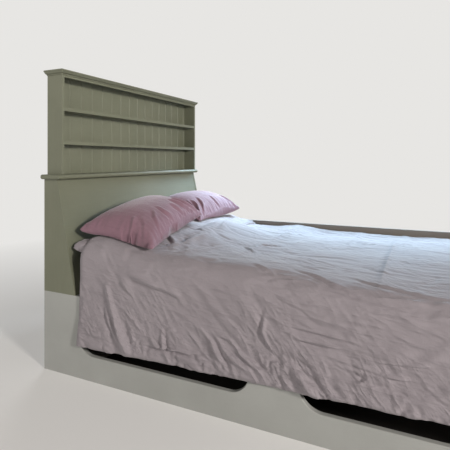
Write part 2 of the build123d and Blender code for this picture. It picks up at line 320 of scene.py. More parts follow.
def dress_cad_nodes():
    """Paint or bare wood on each board, with the brush or the grain along its longest side."""
    sage = {axis: paint(f"sage_paint_{axis}", axis, *SAGE) for axis in "xyz"}
    stone = {axis: paint(f"stone_paint_{axis}", axis, *STONE) for axis in "xyz"}
    shaded_greige = {axis: paint(f"greige_paint_{axis}", axis, *SHADED_GREIGE) for axis in "xyz"}
    wood = {axis: softwood(f"softwood_{axis}", axis) for axis in "xyz"}
    slot_of = {part["node"]: part["material_slot"] for part in frame["record"]["subparts"]}
    for node in frame["nodes"]:
        low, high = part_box(node)
        extent = high - low
        along = "xyz"[max(range(3), key=lambda axis: extent[axis])]
        if slot_of[node] == "painted_joinery":
            # Rails take the greige, darkened as painted shade
            colours = stone if node.startswith("base") else shaded_greige if node.endswith("_rail") else sage
            dress(node, colours[along])
        if slot_of[node] == "softwood":
            dress(node, wood[along])


def within(tree, value, low, high):
    """1 where the value lies between low and high, and 0 elsewhere."""
    above = joined(tree, "GREATER_THAN", value, low)
    return joined(tree, "MULTIPLY", above, joined(tree, "LESS_THAN", value, high))


def painted_shade_under_base(tree, place):
    """1 on the floor inside the base, where its long openings look in and the floor is painted dark as
    shade, and 0 elsewhere.
    """
    into_board = 0.01
    low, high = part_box("base_back_panel")
    head, front = at(into_board, 0.012, 0).xy
    parts = tree.nodes.new("ShaderNodeSeparateXYZ")
    tree.links.new(place, parts.inputs["Vector"])
    along = within(tree, parts.outputs["X"], head, high.x - into_board)
    across = within(tree, parts.outputs["Y"], front, low.y + into_board)
    return joined(tree, "MULTIPLY", along, across)


def add_floor():
    """A pale floor that fades into the backdrop's colour, and is painted near black inside the base as
    shade.
    """
    mesh = bpy.data.meshes.new("floor")
    far = FLOOR_REACH
    mesh.from_pydata([(-far, -far, 0), (far, -far, 0), (far, far, 0), (-far, far, 0)], [], [(0, 1, 2, 3)])
    floor = bpy.data.objects.new("floor", mesh)
    bpy.context.scene.collection.objects.link(floor)
    material, tree, shader, place = new_material("floor")
    shader.inputs["Roughness"].default_value = 0.85
    # Painted shade: near black where the floor lies inside the base, with no haze there
    inside = painted_shade_under_base(tree, place)
    tree.links.new(ramp(tree, inside, 0.4, 0.6, FLOOR_COLOUR, FLOOR_PAINTED_SHADE), shader.inputs["Base Color"])
    haze = tree.nodes.new("ShaderNodeEmission")
    haze.inputs["Color"].default_value = BACKDROP
    far_off = tree.nodes.new("ShaderNodeVectorMath")
    far_off.operation = "LENGTH"
    tree.links.new(place, far_off.inputs[0])
    pale = ranged(tree, far_off.outputs["Value"], HAZE_FROM, HAZE_TO, HAZE_NEAR, 1)
    outside = joined(tree, "SUBTRACT", 1.0, inside)
    mix = tree.nodes.new("ShaderNodeMixShader")
    tree.links.new(joined(tree, "MULTIPLY", pale, outside), mix.inputs["Fac"])
    tree.links.new(shader.outputs["BSDF"], mix.inputs[1])
    tree.links.new(haze.outputs["Emission"], mix.inputs[2])
    tree.links.new(mix.outputs["Shader"], tree.nodes["Material Output"].inputs["Surface"])
    mesh.materials.append(material)


def add_world():
    """Soft light from all round, and a backdrop that the camera, gloss and glass see instead."""
    world = bpy.data.worlds.new("world")
    world.use_nodes = True
    tree = world.node_tree
    soft_light = tree.nodes["Background"]
    soft_light.inputs["Color"].default_value = WORLD_COLOUR
    soft_light.inputs["Strength"].default_value = WORLD_STRENGTH
    backdrop = tree.nodes.new("ShaderNodeBackground")
    backdrop.inputs["Color"].default_value = BACKDROP
    rays = tree.nodes.new("ShaderNodeLightPath")
    seen = rays.outputs["Is Camera Ray"]
    for kind in ("Is Glossy Ray", "Is Transmission Ray"):
        seen = joined(tree, "MAXIMUM", seen, rays.outputs[kind])
    mix = tree.nodes.new("ShaderNodeMixShader")
    tree.links.new(seen, mix.inputs["Fac"])
    tree.links.new(soft_light.outputs["Background"], mix.inputs[1])
    tree.links.new(backdrop.outputs["Background"], mix.inputs[2])
    tree.links.new(mix.outputs["Shader"], tree.nodes["World Output"].inputs["Surface"])
    bpy.context.scene.world = world


# Shapes of cloth, worked out on grids of points measured from the corner of the bed
CLOTH_CLEARANCE = 0.006


def eased(low, high, value):
    """0 below low, 1 above high, and a smooth step between."""
    share = np.clip((value - low) / (high - low), 0, 1)
    return share * share * (3 - 2 * share)


def gradient_noise(u, v, seed):
    """Smooth noise of about -0.7 to 0.7, with one cell to a unit of u and v."""
    cells = 64
    angle = np.random.default_rng(seed).uniform(0, 2 * math.pi, (cells, cells))
    left, low = np.floor(u).astype(int), np.floor(v).astype(int)
    u, v = u - left, v - low
    total = 0
    for i in (0, 1):
        for j in (0, 1):
            turn = angle[(left + i) % cells, (low + j) % cells]
            weight = eased(0, 1, 1 - np.abs(u - i)) * eased(0, 1, 1 - np.abs(v - j))
            total = total + weight * (np.cos(turn) * (u - i) + np.sin(turn) * (v - j))
    return total


def wrinkles(x, down, angle, length, spacing, width, seed):
    """Creases at an angle to x, 1 in the crease with a lip beside it, that fade out and start again."""
    turn = math.radians(angle)
    along = (x * math.cos(turn) + down * math.sin(turn)) / length
    over = (down * math.cos(turn) - x * math.sin(turn)) / spacing
    line = gradient_noise(along, over, seed) * spacing / width
    shown = eased(-0.05, 0.2, gradient_noise(along / 1.6, over / 2.3, seed + 1))
    return shown * (np.exp(-(line**2)) - 0.55 * np.exp(-((line - 1.7) ** 2)))


def around(value, middle, reach):
    """1 at the middle, fading to 0 about twice the reach away."""
    return np.exp(-(((value - middle) / reach) ** 2))


def fold(u, v, points, width, height):
    """A ridge along a run of points, with a hollow on its left, that dies away at both ends."""
    points = np.array(points)
    runs = np.linalg.norm(np.diff(points, axis=0), axis=1)
    travelled = np.concatenate([[0], np.cumsum(runs)]) / runs.sum()
    nearest = np.full(u.shape, np.inf)
    aside = np.zeros(u.shape)
    along = np.zeros(u.shape)
    for number, run in enumerate(runs):
        start, step = points[number], points[number + 1] - points[number]
        share = np.clip(((u - start[0]) * step[0] + (v - start[1]) * step[1]) / run**2, 0, 1)
        off_u, off_v = u - start[0] - share * step[0], v - start[1] - share * step[1]
        distance = np.hypot(off_u, off_v)
        closer = distance < nearest
        side = np.sign(step[0] * off_v - step[1] * off_u)
        nearest = np.where(closer, distance, nearest)
        aside = np.where(closer, side * distance, aside)
        here = travelled[number] + share * (travelled[number + 1] - travelled[number])
        along = np.where(closer, here, along)
    ridge = np.exp(-((aside / width) ** 2)) - 0.8 * np.exp(-((aside / width - 1.5) ** 2))
    return height * ridge * np.sin(math.pi * along) ** 0.7


def resampled(grid, *shares):
    """The same surface with its rows and columns at these shares of its two sides, on smooth curves."""
    for share in shares:
        place = share * (len(grid) - 1)
        before = np.minimum(place.astype(int), len(grid) - 2)
        t = (place - before)[:, None, None]
        padded = np.concatenate([2 * grid[:1] - grid[1:2], grid, 2 * grid[-1:] - grid[-2:-1]])
        a, b, c, d = (padded[before + step] for step in range(4))
        grid = b + t / 2 * (c - a + t * (2 * a - 5 * b + 4 * c - d + t * (3 * (b - c) + d - a)))
        grid = grid.swapaxes(0, 1)
    return grid


def finer(grid):
    """The same surface with a point added between each two, both ways."""
    return resampled(grid, *(np.linspace(0, 1, 2 * count - 1) for count in grid.shape[:2]))


def softened(grid, times):
    """The same surface with its smallest ripples evened out."""
    for _ in range(times):
        padded = np.pad(grid, ((1, 1), (1, 1), (0, 0)), "edge")
        beside = padded[:-2, 1:-1] + padded[2:, 1:-1] + padded[1:-1, :-2] + padded[1:-1, 2:]
        grid = (4 * grid + beside) / 8
    return grid


def spread_out(grid):
    """Each point takes the highest value among itself and its neighbours."""
    padded = np.pad(grid, ((1, 1), (1, 1), (0, 0)), "edge")
    rows, columns = grid.shape[:2]
    shifted = [padded[i : i + rows, j : j + columns] for i in range(3) for j in range(3)]
    return np.max(shifted, axis=0)


def grid_normals(grid):
    """Which way the surface faces at each point of a grid, outwards or up."""
    normals = np.cross(np.gradient(grid, axis=1), np.gradient(grid, axis=0))
    return normals / np.linalg.norm(normals, axis=-1, keepdims=True)


def numbered(grid):
    """The number of each point of a grid, in the order in which a piece takes them."""
    rows, columns = grid.shape[:2]
    return np.arange(rows * columns).reshape(rows, columns)


def grid_faces(number):
    """Four-sided faces between the points that a grid of numbers names."""
    corners = [number[:-1, :-1], number[:-1, 1:], number[1:, 1:], number[1:, :-1]]
    return np.stack(corners, axis=-1).reshape(-1, 4).tolist()


def rim(number):
    """The numbers round the edge of a grid, in order."""
    return np.concatenate([number[0, :-1], number[:-1, -1], number[-1, :0:-1], number[:0:-1, 0]])


def new_piece(name, points, faces):
    """A smooth-shaded object from places measured from the corner of the bed."""
    mesh = bpy.data.meshes.new(name)
    mesh.from_pydata((np.asarray(points).reshape(-1, 3) + np.array(at(0, 0, 0))).tolist(), [], faces)
    mesh.polygons.foreach_set("use_smooth", [True] * len(mesh.polygons))
    piece = bpy.data.objects.new(name, mesh)
    bpy.context.scene.collection.objects.link(piece)
    return piece


def settle(piece, frames, held=(), pressure=0.0, gravity=0.0, **settings):
    """Runs a cloth simulation on a piece and returns where its points end, measured from the corner."""
    scene = bpy.context.scene
    cloth = piece.modifiers.new("cloth", "CLOTH")
    cloth.settings.bending_model = "ANGULAR"
    cloth.settings.effector_weights.gravity = gravity
    for name, value in settings.items():
        setattr(cloth.settings, name, value)
    if pressure:
        cloth.settings.use_pressure = True
        cloth.settings.uniform_pressure_force = pressure
    if len(held):
        group = piece.vertex_groups.new(name="held")
        group.add([int(number) for number in held], 1.0, "REPLACE")
        cloth.settings.vertex_group_mass = group.name
    cloth.collision_settings.distance_min = CLOTH_CLEARANCE
    cloth.collision_settings.collision_quality = 3
    cloth.point_cache.frame_start = 1
    cloth.point_cache.frame_end = frames
    for frame_number in range(1, frames + 1):
        scene.frame_set(frame_number)
    shaped = piece.evaluated_get(bpy.context.evaluated_depsgraph_get()).data
    places = np.empty(3 * len(shaped.vertices))
    shaped.vertices.foreach_get("co", places)
    scene.frame_set(1)
    piece.modifiers.remove(cloth)
    return places.reshape(-1, 3) - np.array(at(0, 0, 0))


def discard(piece):
    mesh = piece.data
    bpy.data.objects.remove(piece)
    bpy.data.meshes.remove(mesh)


def span(node):
    """Lowest and highest corner of a CAD node, measured from the corner of the bed."""
    return [np.array(corner - at(0, 0, 0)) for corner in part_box(node)]


# Duvet: its edges, the radius of its roll over the front of the mattress, how far its hem rises for each
# metre towards the foot, and how far it stays before the front panel
DUVET_LOW, DUVET_HIGH = span("duvet")
DUVET_HEAD = DUVET_LOW[0]
DUVET_FOOT = DUVET_HIGH[0] - 0.008
DUVET_BACK = DUVET_HIGH[1] - 0.012
DUVET_FRONT = -0.030
DUVET_ROLL = 0.11
DUVET_HEM = DUVET_LOW[2] + 0.003
HEM_RISE = 0.021
BEFORE_BASE = 0.012

# Height of its top at the front, in the middle and at the wall, and how much higher it lies over the pillows
FRONT_HEIGHT, FRONT_RISE = 0.650, 0.042
MIDDLE_HEIGHT, MIDDLE_RISE = 0.625, 0.068
WALL_HEIGHT, WALL_RISE = 0.612, 0.074

# Thickness on the bed, down the front and at the edges
DUVET_LOFT = 0.036
DROP_LOFT = 0.018
EDGE_LOFT = 0.005
EDGE_SINK = 0.007

# Steps of the simulated cloth, and points of the finer one: each way one more than a multiple of three
CLOTH_STEP = 0.016
FILLING_STEP = 0.04
FILLING_INSET = 0.016
DUVET_FRAMES = 30
DUVET_ROWS = 334
TOP_COLUMNS = 130
DROP_COLUMNS = 114
COLUMN_STEP = 0.006

# About how much more cloth the roll takes than its radius, for each metre of it, and how far the cloth drops
TURN_EXTRA = 0.57
DROP_LENGTH = 0.37

# Folds on its front: points as (from the head wall, height), half width, height of the ridge
FRONT_GAIN = 2.5
FRONT_FOLDS = [
    ([(0.43, 0.50), (0.47, 0.39), (0.51, 0.31), (0.58, 0.18)], 0.017, 0.012),
    ([(0.40, 0.40), (0.45, 0.30), (0.50, 0.22)], 0.009, -0.004),
    ([(0.52, 0.40), (0.60, 0.34), (0.66, 0.29)], 0.010, 0.004),
    ([(0.49, 0.51), (0.55, 0.45), (0.61, 0.38)], 0.018, -0.006),
    ([(0.83, 0.51), (0.67, 0.54), (0.55, 0.57)], 0.022, 0.007),
    ([(0.75, 0.41), (0.85, 0.35)], 0.024, -0.006),
    ([(0.92, 0.38), (0.98, 0.33), (1.02, 0.26), (1.06, 0.21)], 0.008, 0.005),
    ([(1.01, 0.35), (1.06, 0.33), (1.10, 0.30)], 0.008, -0.004),
    ([(0.86, 0.35), (0.90, 0.32), (0.94, 0.28)], 0.008, 0.004),
    ([(0.64, 0.24), (0.77, 0.24), (0.89, 0.24), (0.94, 0.26)], 0.007, -0.005),
    ([(0.74, 0.34), (0.75, 0.29), (0.76, 0.24), (0.79, 0.19)], 0.008, 0.005),
    ([(1.00, 0.35), (1.06, 0.28), (1.16, 0.23)], 0.010, 0.005),
    ([(1.08, 0.32), (1.21, 0.23)], 0.009, 0.004),
    ([(1.20, 0.52), (1.19, 0.42), (1.23, 0.30)], 0.008, -0.004),
    ([(1.31, 0.41), (1.41, 0.40), (1.54, 0.395)], 0.007, -0.004),
    ([(1.29, 0.46), (1.40, 0.45), (1.56, 0.43)], 0.007, -0.003),
    ([(1.29, 0.31), (1.36, 0.25), (1.42, 0.18)], 0.018, 0.008),
    ([(1.54, 0.32), (1.56, 0.30), (1.57, 0.33)], 0.007, -0.004),
    ([(1.60, 0.37), (1.68, 0.375), (1.78, 0.39)], 0.007, -0.003),
    ([(1.64, 0.32), (1.76, 0.32)], 0.007, -0.003),
    ([(0.69, 0.28), (0.76, 0.23)], 0.007, 0.003),
]

# Folds on its top: points as (from the head wall, from the front of the base), half width, height
TOP_GAIN = 1.7
TOP_FOLDS = [
    ([(0.53, 0.31), (0.60, 0.25), (0.66, 0.20)], 0.010, -0.006),
    ([(0.60, 0.06), (0.69, 0.22), (0.72, 0.50)], 0.020, 0.0055),
    ([(0.72, 0.06), (0.81, 0.20), (0.88, 0.44)], 0.016, 0.0035),
    ([(0.72, 0.58), (0.66, 0.78), (0.60, 0.98)], 0.018, 0.0045),
    ([(0.59, 0.53), (0.69, 0.47)], 0.008, -0.004),
    ([(0.91, 0.48), (1.04, 0.36)], 0.008, -0.004),
    ([(0.99, 0.55), (1.10, 0.60)], 0.008, -0.005),
    ([(1.11, 0.12), (1.23, 0.06)], 0.008, -0.004),
    ([(1.27, 0.15), (1.35, 0.12), (1.44, 0.07), (1.56, 0.03)], 0.008, -0.005),
    ([(1.29, 0.22), (1.38, 0.21)], 0.007, -0.004),
    ([(1.49, 0.17), (1.61, 0.12), (1.71, 0.10), (1.85, 0.08)], 0.008, -0.005),
    ([(0.68, 0.32), (0.65, 0.62), (0.56, 1.10)], 0.045, 0.006),
    ([(1.23, 0.99), (1.22, 0.53)], 0.030, 0.002),
]


def duvet_height(x, y):
    """Height of the duvet's top: it rises over the lower pillows, and is fuller along the front."""
    front = FRONT_HEIGHT - 0.052 * eased(0.9, 1.85, x) + FRONT_RISE * (1 - eased(0.36, 0.66, x))
    middle = MIDDLE_HEIGHT - 0.014 * eased(0.9, 1.6, x) + MIDDLE_RISE * (1 - eased(0.58, 0.98, x))
    wall = WALL_HEIGHT - 0.02 * eased(0.66, 1.1, x) + WALL_RISE * (1 - eased(0.40, 0.66, x))
    wall = wall + 0.045 * gradient_noise(x / 0.28, y / 0.6, 31)
    to_middle = eased(0.02, 0.45, y)
    to_wall = eased(0.75, 1.30, y)
    return front * (1 - to_middle) + (middle * (1 - to_wall) + wall * to_wall) * to_middle


def duvet_shape(step, inset):
    """Rows of points run along the bed, and columns from the wall over the roll and down to the hem."""
    flat = DUVET_BACK - DUVET_FRONT - DUVET_ROLL
    bend = math.pi / 2 * DUVET_ROLL
    drop = duvet_height(1.0, 0.0) - DUVET_ROLL - DUVET_HEM
    rows = 3 * round((DUVET_FOOT - DUVET_HEAD) / step / 3) + 1
    columns = 3 * round((flat + bend + drop) / step / 3) + 1
    x = np.linspace(DUVET_HEAD, DUVET_FOOT, rows)
    across = np.linspace(0, flat + bend + drop, columns)
    x, across = np.meshgrid(x, across, indexing="ij")
    radius = DUVET_ROLL - inset
    turned = np.clip((across - flat) / DUVET_ROLL, 0, math.pi / 2)
    y = np.where(across > flat, DUVET_FRONT + DUVET_ROLL - radius * np.sin(turned), DUVET_BACK - across)
    z = duvet_height(x, np.maximum(y, 0)) - inset - radius * (1 - np.cos(turned))
    hem = DUVET_HEM + HEM_RISE * (x - DUVET_HEAD)
    z -= np.clip((across - flat - bend) / drop, 0, 1) * (z - hem)
    return np.stack([x, y, z], axis=-1)


def new_filling():
    """What the cloth of the duvet drops on: its shape a little smaller, and pushed in below the roll."""
    shape = duvet_shape(FILLING_STEP, FILLING_INSET)
    behind = eased(0.60, 0.40, shape[..., 2]) * (shape[..., 1] < 0.05)
    shape[..., 1] += 0.014 * behind
    filling = new_piece("filling", shape, grid_faces(numbered(shape)))
    filling.modifiers.new("collision", "COLLISION")
    filling.collision.thickness_outer = 0.002
    filling.collision.thickness_inner = 0.03
    filling.collision.cloth_friction = 15
    return filling


def draped_duvet():
    """The cloth of the duvet as cut, and dropped a little too large over its filling."""
    rest = duvet_shape(CLOTH_STEP, 0.0)
    filling = new_filling()
    number = numbered(rest)
    x, y = rest[..., 0], rest[..., 1]
    under_pillows = number[(x < 0.50) & (y > 0.10) & (y < 1.30)]
    held = np.concatenate([under_pillows, number[:, 0], number[-1, y[-1] > 0]])
    sheet = new_piece("sheet", rest, grid_faces(number))
    draped = settle(
        sheet,
        DUVET_FRAMES,
        held=held,
        gravity=0.6,
        quality=6,
        mass=0.3,
        air_damping=2.0,
        tension_stiffness=40,
        compression_stiffness=20,
        shear_stiffness=5,
        bending_stiffness=0.2,
        tension_damping=8,
        compression_damping=8,
        shear_damping=8,
        shrink_min=-0.03,
    ).reshape(rest.shape)
    discard(filling)
    discard(sheet)
    return rest, draped


def duvet_relief(x, y, z, front):
    """How far the folds and creases stand out from the draped cloth. On its front, front is 1."""
    raised = np.zeros(x.shape)
    for points, width, height in FRONT_FOLDS:
        raised += FRONT_GAIN * front * fold(x, z, points, width, height)
    for points, width, height in TOP_FOLDS:
        raised += TOP_GAIN * (1 - front) * fold(x, y, points, width, height)
    down = np.where(front > 0.5, y - (0.6 - z), y)
    top, low_down = 1 - front, eased(0.44, 0.24, z) * front
    # Creases: depth where they show, angle in degrees, length, spacing, width and seed
    creases = (
        (0.0038 * top, -10, 0.30, 0.075, 0.007, 3),
        (0.0028 * top, 14, 0.14, 0.05, 0.006, 5),
        (0.0075 * low_down * around(x, 0.98, 0.25), -48, 0.13, 0.050, 0.0075, 7),
        (0.0045 * low_down * around(x, 1.00, 0.40), -75, 0.08, 0.045, 0.0065, 9),
        (0.0045 * front * around(x, 1.30, 0.10) * around(z, 0.38, 0.16), -84, 0.16, 0.035, 0.006, 21),
        (0.0045 * front * eased(1.3, 1.5, x), -4, 0.30, 0.060, 0.007, 23),
        (0.0045 * low_down, -50, 0.07, 0.040, 0.0065, 25),
        (0.0060 * front * around(x, 0.42, 0.14), -66, 0.20, 0.055, 0.010, 27),
        (0.0022 * front, -30, 0.12, 0.060, 0.007, 29),
    )
    for depth, angle, length, spacing, width, seed in creases:
        raised -= depth * wrinkles(x, down, angle, length, spacing, width, seed)
    raised += 0.007 * gradient_noise(x / 0.21, down / 0.15, 11)
    return raised


def from_duvet_edge(rows, columns):
    """About how far each point of the finer cloth lies from its nearest edge."""
    row = np.minimum(np.arange(rows), rows - 1 - np.arange(rows))[:, None]
    column = np.minimum(np.arange(columns), columns - 1 - np.arange(columns))[None, :]
    return np.minimum(row * (DUVET_FOOT - DUVET_HEAD) / rows, column * COLUMN_STEP)


def kept_before(y, front, clearance):
    """The same places across the bed, on the front no nearer to the base than a clearance."""
    return np.where(front > 0.99, np.minimum(y, -clearance), y)


def make_duvet(material):
    """The draped cloth with its folds, and a plainer underside below it, as one closed piece."""
    rest, draped = draped_duvet()
    across = np.linspace(0, 1, rest.shape[1])
    sunk = rest[:, -1, 2] - draped[:, -1, 2]
    draped[..., 2] += sunk[:, None] * eased(0.68, 1.0, across)
    draped = rest + softened(draped - rest, 3)
    cloth = DUVET_BACK - DUVET_FRONT + TURN_EXTRA * DUVET_ROLL + DROP_LENGTH
    to_roll = (DUVET_BACK - DUVET_FRONT - DUVET_ROLL) / cloth
    over_top = np.linspace(0, to_roll, TOP_COLUMNS, endpoint=False)
    shares = np.linspace(0, 1, DUVET_ROWS), np.concatenate([over_top, np.linspace(to_roll, 1, DROP_COLUMNS)])
    outer, rest = resampled(draped, *shares), resampled(rest, *shares)
    x, y, z = rest[..., 0], rest[..., 1], rest[..., 2]
    front = eased(0.02, -0.025, y)
    from_edge = from_duvet_edge(*x.shape)
    raised = duvet_relief(x, y, z, front) - EDGE_SINK * (1 - eased(0, 0.022, from_edge))
    normals = grid_normals(outer)
    outer = outer + raised[..., None] * normals
    flare = 0.012 * eased(0.40, 0.18, z)
    pinch = 0.010 * around(z, 0.44, 0.07) * around(x, 0.6, 0.35)
    outer[..., 1] -= front * (flare - pinch)
    outer[..., 1] = kept_before(outer[..., 1], front, BEFORE_BASE)
    outer[..., 2] += 0.006 * eased(0.30, 0.18, z) * front * gradient_noise(x / 0.07, x / 0.31, 33)
    loft = DROP_LOFT + (DUVET_LOFT - DROP_LOFT) * (1 - front)
    loft = EDGE_LOFT + (loft - EDGE_LOFT) * eased(0, 0.05, from_edge)
    inner = outer - loft[..., None] * normals
    inner[..., 1] = kept_before(inner[..., 1], front, BEFORE_BASE / 4)
    duvet = padded_sheet("duvet_cover", outer, inner[::3, ::3])
    duvet.data.materials.append(material)
    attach(duvet, "root")
    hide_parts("duvet")
    return duvet


def padded_sheet(name, outer, inner):
    """A closed piece from a fine grid and a grid a third as fine below it, joined round their edges."""
    above = numbered(outer)
    below = above.size + numbered(inner)
    faces = grid_faces(above) + grid_faces(below.T)
    upper_rim, lower_rim = rim(above), rim(below)
    for number in range(len(lower_rim)):
        following = (number + 1) % len(lower_rim)
        upper = [upper_rim[(3 * number + step) % len(upper_rim)] for step in range(4)]
        faces.append([int(point) for point in (*upper[::-1], lower_rim[number], lower_rim[following])])
    return new_piece(name, np.concatenate([outer.reshape(-1, 3), inner.reshape(-1, 3)]), faces)


def cushion_faces(rows, columns):
    """Numbers of the points of an upper and a lower grid that share their edges, and both grids' faces."""
    upper = np.arange(rows * columns).reshape(rows, columns)
    lower = upper.copy()
    inside = (rows - 2) * (columns - 2)
    lower[1:-1, 1:-1] = rows * columns + np.arange(inside).reshape(rows - 2, columns - 2)
    return upper, lower, grid_faces(upper) + grid_faces(lower.T)


def new_cushion(name, top, bottom):
    """A closed piece from two grids that share their edges."""
    upper, lower, faces = cushion_faces(*top.shape[:2])
    inside = bottom[1:-1, 1:-1].reshape(-1, 3)
    return new_piece(name, np.concatenate([top.reshape(-1, 3), inside]), faces), upper, lower


def stuffed(seed, pressure):
    """Two sheets sewn together and blown up: its upper and lower grid, lying flat about the origin."""
    width, length = PILLOW_CUT
    x = np.linspace(-width / 2, width / 2, round(width / PILLOW_STEP) + 1)
    y = np.linspace(length / 2, -length / 2, round(length / PILLOW_STEP) + 1)
    x, y = np.meshgrid(x, y, indexing="ij")
    inward = (1 - (2 * x / width) ** 2) * (1 - (2 * y / length) ** 2)
    lift = inward * (0.03 + 0.004 * gradient_noise(x / 0.05, y / 0.05, seed))
    top, bottom = np.stack([x, y, lift], axis=-1), np.stack([x, y, -lift], axis=-1)
    bag, upper, lower = new_cushion("bag", top, bottom)
    places = settle(
        bag,
        PILLOW_FRAMES,
        pressure=pressure,
        quality=5,
        mass=0.012,
        air_damping=2.0,
        tension_stiffness=30,
        compression_stiffness=30,
        shear_stiffness=10,
        bending_stiffness=0.05,
    )
    discard(bag)
    return places[upper], places[lower]


# Pillows: pressure of the stuffing; how far the crown and the belly stand from the seam; the power that
# shapes the crown, where less is fuller; the end with the sewn hem; the larger folds; and the corners of
# the seam as (from the head wall, from the front, height), head and foot at the near end, then far.
# Folds are points as (towards the foot, towards the wall) from the middle, half width and height
PILLOWS = {
    "pillow_top_near": {
        "pressure": 1.5,
        "crown": 0.120,
        "fullness": 0.68,
        "belly": 0.05,
        "open_end": "near",
        "folds": [
            ([(0.09, -0.38), (0.085, -0.33), (0.06, -0.27)], 0.013, 0.007),
            ([(0.18, -0.37), (0.15, -0.30), (0.10, -0.25)], 0.012, 0.006),
            ([(0.25, -0.24), (0.17, -0.19), (0.12, -0.12)], 0.013, 0.007),
            ([(0.25, 0.34), (0.16, 0.26), (0.06, 0.23)], 0.014, 0.014),
            ([(0.25, 0.27), (0.18, 0.19), (0.08, 0.15)], 0.013, 0.012),
            ([(0.25, 0.17), (0.20, 0.11), (0.13, 0.08)], 0.013, 0.010),
            ([(0.20, 0.38), (0.12, 0.32), (0.02, 0.30)], 0.013, 0.011),
            ([(0.24, -0.02), (0.17, -0.06), (0.10, -0.06)], 0.014, 0.008),
        ],
        "corners": [(0.19, 0.035, 0.716), (0.665, 0.0, 0.668), (0.15, 0.69, 0.79), (0.55, 0.70, 0.745)],
    },
    "pillow_top_far": {
        "pressure": 1.4,
        "crown": 0.114,
        "fullness": 0.72,
        "belly": 0.05,
        "open_end": "far",
        "folds": [
            ([(0.25, -0.36), (0.16, -0.28), (0.07, -0.25)], 0.013, 0.014),
            ([(0.25, -0.28), (0.17, -0.20), (0.08, -0.16)], 0.013, 0.011),
            ([(0.19, -0.38), (0.12, -0.31), (0.04, -0.28)], 0.013, 0.011),
            ([(0.25, 0.33), (0.17, 0.27), (0.09, 0.24)], 0.012, 0.009),
            ([(0.25, 0.05), (0.18, 0.02), (0.10, 0.03)], 0.013, 0.007),
        ],
        "corners": [(0.14, 0.73, 0.77), (0.52, 0.715, 0.685), (0.14, 1.37, 0.76), (0.51, 1.37, 0.709)],
    },
    "pillow_lower_near": {
        "pressure": 1.2,
        "crown": 0.056,
        "fullness": 0.1,
        "belly": 0.06,
        "folds": [],
        "corners": [
            (0.178, 0.008, 0.632),
            (0.64, 0.035, 0.600),
            (0.187, 0.69, 0.62),
            (0.64, 0.69, 0.59),
        ],
    },
    "pillow_lower_far": {
        "pressure": 1.2,
        "crown": 0.056,
        "fullness": 0.1,
        "belly": 0.06,
        "folds": [],
        "corners": [
            (0.187, 0.715, 0.62),
            (0.64, 0.715, 0.59),
            (0.187, 1.365, 0.62),
            (0.64, 1.365, 0.59),
        ],
    },
}

# A pillow as it is cut, how finely it is simulated, and how its shape mixes with a plain stuffed one
PILLOW_CUT = (0.50, 0.76)
PILLOW_STEP = 0.012
PILLOW_FRAMES = 24
PILLOW_CLEARANCE = 0.002
STUFFED_SHARE = 0.3
BLUNT_SHARE = 0.3
BELLY_FULLNESS = 0.4
UPPER_BOW = 0.08
CORNER_PULL = 0.02

# Puckers along its seam, and stitches in the column of points where its hem is sewn
PUCKER_HEIGHT = 0.013
PUCKER_SPACING = 0.05
PUCKER_LENGTH = 0.16
STITCH_PITCH = 0.0048
STITCH_LENGTH = 0.0032
STITCH_RADIUS = 0.0006
HEM_COLUMN = {"near": -4, "far": 3}

# The headboard leans towards the wall as it rises
LEAN = math.tan(math.radians(12))
HEADBOARD_FOOT = span("headboard_end_near")
HEADBOARD_GAP = 0.004


def headboard_face(height):
    """How far the leaning front of the headboard stands from the wall at a height."""
    low, high = HEADBOARD_FOOT
    return high[0] - LEAN * (height - low[2])


def laid(grid, corners, crown, fullness, bow):
    """Places a stuffed grid on the four corners of its seam, clear of the headboard."""
    near_head, near_foot, far_head, far_foot = np.array(corners)
    rows, columns = grid.shape[:2]
    flat_u, flat_v = np.meshgrid(np.linspace(1, -1, rows), np.linspace(1, -1, columns), indexing="ij")
    u = np.clip(STUFFED_SHARE * grid[..., 0] / grid[0, 0, 0] + (1 - STUFFED_SHARE) * flat_u, -1, 1)
    v = np.clip(STUFFED_SHARE * grid[..., 1] / grid[0, 0, 1] + (1 - STUFFED_SHARE) * flat_v, -1, 1)
    bowed_u = u * (1 - bow * (1 - v**4) - CORNER_PULL * v**12)
    bowed_v = v * (1 - bow * (1 - u**4) - CORNER_PULL * u**12)
    footward = (1 - bowed_u[..., None]) / 2
    farward = (1 + bowed_v[..., None]) / 2
    near = near_head + footward * (near_foot - near_head)
    far = far_head + footward * (far_foot - far_head)
    placed = near + farward * (far - near)
    swell = softened(np.abs(grid[..., 2:]), 4)[..., 0]
    swell /= swell.max()
    dome = (1 - u**2) ** fullness * (1 - v**4) ** fullness
    dome += BLUNT_SHARE * (np.sqrt((1 - u**8) * (1 - v**8)) - dome)
    risen = STUFFED_SHARE * swell + (1 - STUFFED_SHARE) * dome
    placed[..., 2] += np.sign(grid[..., 2]) * crown * risen
    placed[..., 0] = np.maximum(placed[..., 0], headboard_face(placed[..., 2]) + HEADBOARD_GAP)
    return placed


def pleats(rows, columns, seed, folds):
    """Small puckers that run in from the seam and die away, and the larger folds of one pillow."""
    width, length = PILLOW_CUT
    u, v = np.meshgrid(np.linspace(-1, 1, rows), np.linspace(-1, 1, columns), indexing="ij")
    from_side, from_end = (1 - np.abs(u)) * width / 2, (1 - np.abs(v)) * length / 2
    at_side = gradient_noise(v * length / PUCKER_SPACING, from_side / PUCKER_LENGTH, seed)
    at_end = gradient_noise(u * width / PUCKER_SPACING, from_end / PUCKER_LENGTH, seed + 1)
    raised = PUCKER_HEIGHT * (at_side * np.exp(-from_side / 0.05) + at_end * np.exp(-from_end / 0.06))
    for points, reach, height in folds:
        raised += fold(u * width / 2, -v * length / 2, points, reach, height)
    return eased(0, 0.012, np.minimum(from_side, from_end)) * raised


